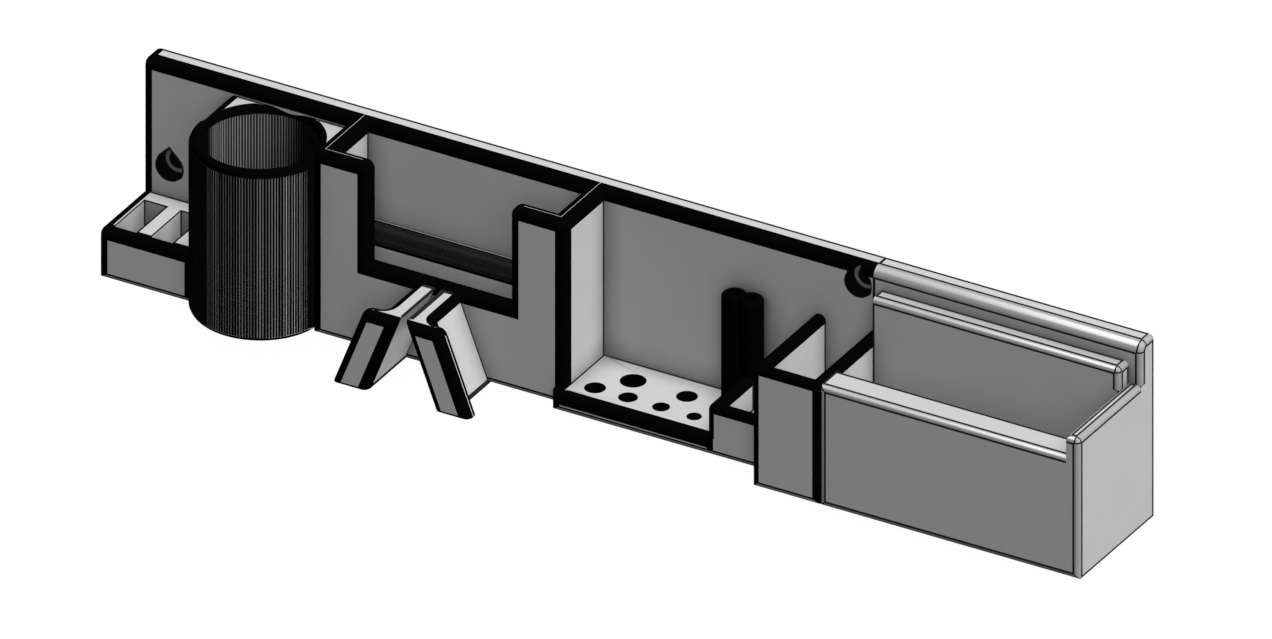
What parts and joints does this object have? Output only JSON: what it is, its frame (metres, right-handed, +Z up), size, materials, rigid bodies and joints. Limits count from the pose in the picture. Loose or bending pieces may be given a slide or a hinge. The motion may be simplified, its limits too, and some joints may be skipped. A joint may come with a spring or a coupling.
{
  "type": "wall tool holder",
  "caption": "Long wall-mounted holder with plug slots, a round cup, a pliers pocket with hooked pegs, a key shelf, needle tubes, two upright pockets and an open bin.",
  "frame": {"origin": "centre of the back plate's back face, which lies on the wall", "axes": "+X along the plate to its bin end, +Y into the wall, +Z up"},
  "size_m": [0.2308, 0.036, 0.0418],
  "materials": {
    "left_print": "matte grey printed plastic with black rounded edges",
    "right_print": "satin grey printed plastic",
    "cup_print": "dark printed plastic with fine upright lines",
    "tube_print": "black printed plastic"
  },
  "bodies": {
    "root": {"left_back_plate": "left_print", "right_back_plate": "right_print", "plug_bench": "left_print", "round_cup": "cup_print", "cup_floor": "cup_print", "pliers_left_wall": "left_print", "pliers_front_wall": "left_print", "pliers_right_wall": "left_print", "pliers_floor": "left_print", "pliers_ledge": "left_print", "left_hook_peg": "left_print", "right_hook_peg": "left_print", "key_shelf": "left_print", "needle_tubes": "tube_print", "small_pocket": "left_print", "small_floor": "left_print", "scraper_pocket": "left_print", "scraper_floor": "left_print", "bin_front_wall": "right_print", "bin_end_wall": "right_print", "bin_floor": "right_print", "bin_back_pad": "right_print"}
  },
  "joints": []
}
